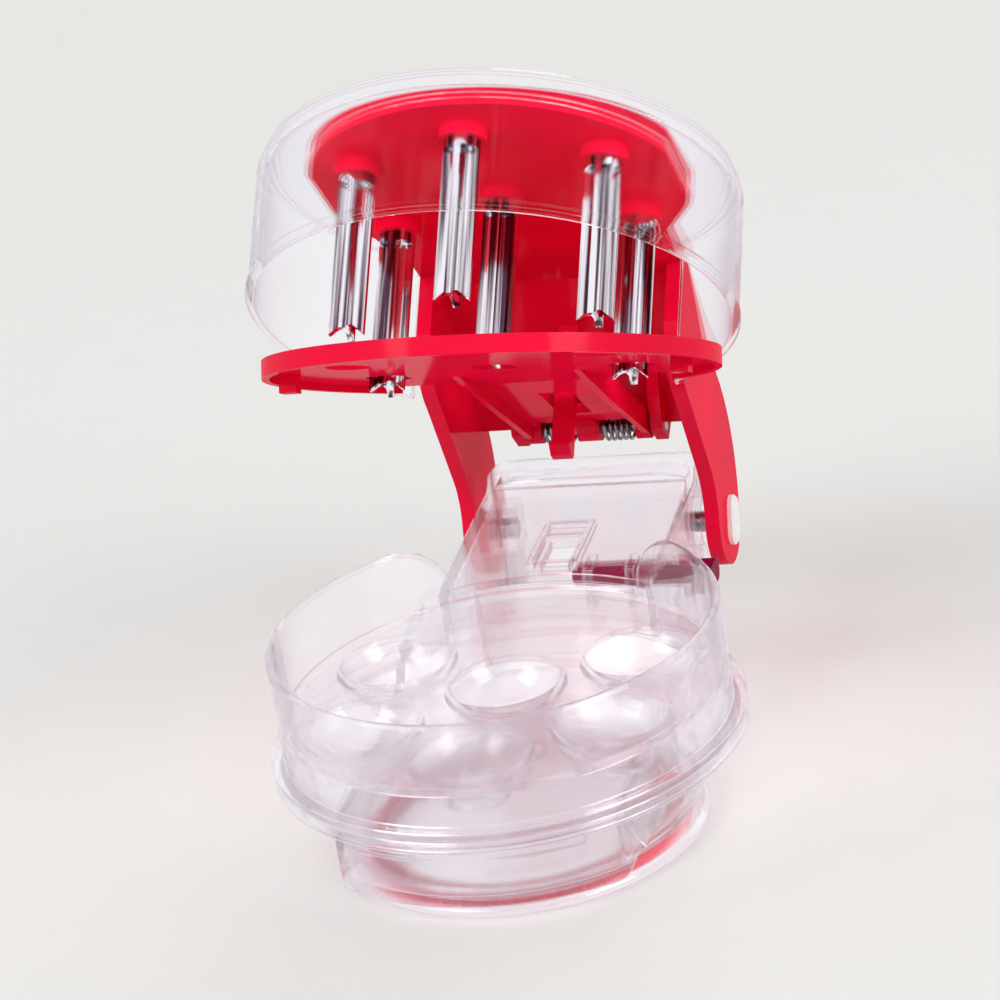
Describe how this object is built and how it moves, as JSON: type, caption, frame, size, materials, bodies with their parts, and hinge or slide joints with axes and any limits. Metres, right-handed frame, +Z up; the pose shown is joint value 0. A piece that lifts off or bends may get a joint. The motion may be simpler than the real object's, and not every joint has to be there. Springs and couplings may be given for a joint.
{
  "type": "multi cherry pitter",
  "caption": "Hand-lever cherry pitter: clear round cherry bowl with cups over a pit drawer, and a hinged red lid with pitting pins, clear splash shield and spring-held stripper plate.",
  "frame": {"origin": "centre of the bottom of the box round the open pitter, on the table", "axes": "+Z up, -Y to the front where the bowl is, +X to the right of somebody facing the front"},
  "size_m": [0.1108, 0.1689, 0.171],
  "materials": {
    "clear_plastic": "clear glossy plastic",
    "red_plastic": "glossy",
    "red_rubber": "satin",
    "steel": "polished",
    "polished_pin": "polished",
    "white_plastic": "glossy"
  },
  "bodies": {
    "base": {"base_body": "clear_plastic", "nonslip_ring": "red_rubber", "cherry_bowl": "clear_plastic"},
    "drawer": {"pit_drawer": "clear_plastic"},
    "lid": {"lever_frame": "red_plastic", "lever_cover": "red_plastic", "splash_shield": "clear_plastic", "pin_front_left": "polished_pin", "pin_front_middle": "polished_pin", "pin_front_right": "polished_pin", "pin_rear_left": "polished_pin", "pin_rear_middle": "polished_pin", "pin_rear_right": "polished_pin", "stripper_hinge_pin": "steel", "stripper_spring_left": "steel", "stripper_spring_right": "steel", "hinge_pin_left": "steel", "hinge_pin_right": "steel", "hinge_cap_left": "white_plastic", "hinge_cap_right": "white_plastic"},
    "stripper": {"stripper_plate": "red_plastic"},
    "lock": {"lock_bar": "red_plastic"}
  },
  "joints": [
    {"name": "lid_swing", "type": "hinge", "parent": "base", "child": "lid", "pos_m": [0, 0.07124, 0.027], "axis": [1, 0, 0], "range_deg": [0, 47]},
    {"name": "stripper_swing", "type": "hinge", "parent": "lid", "child": "stripper", "pos_m": [0, 0.07457, 0.05129], "axis": [1, 0, 0], "range_deg": [-19, 0]},
    {"name": "drawer_slide", "type": "slide", "parent": "base", "child": "drawer", "axis": [0, -1, 0], "range_m": [0, 0.055]},
    {"name": "lock_slide", "type": "slide", "parent": "base", "child": "lock", "axis": [-1, 0, 0], "range_m": [0, 0.005]}
  ],
  "couplings": [
    {"joint": "stripper_swing", "follows": "lid_swing", "ratio": -0.40425}
  ]
}
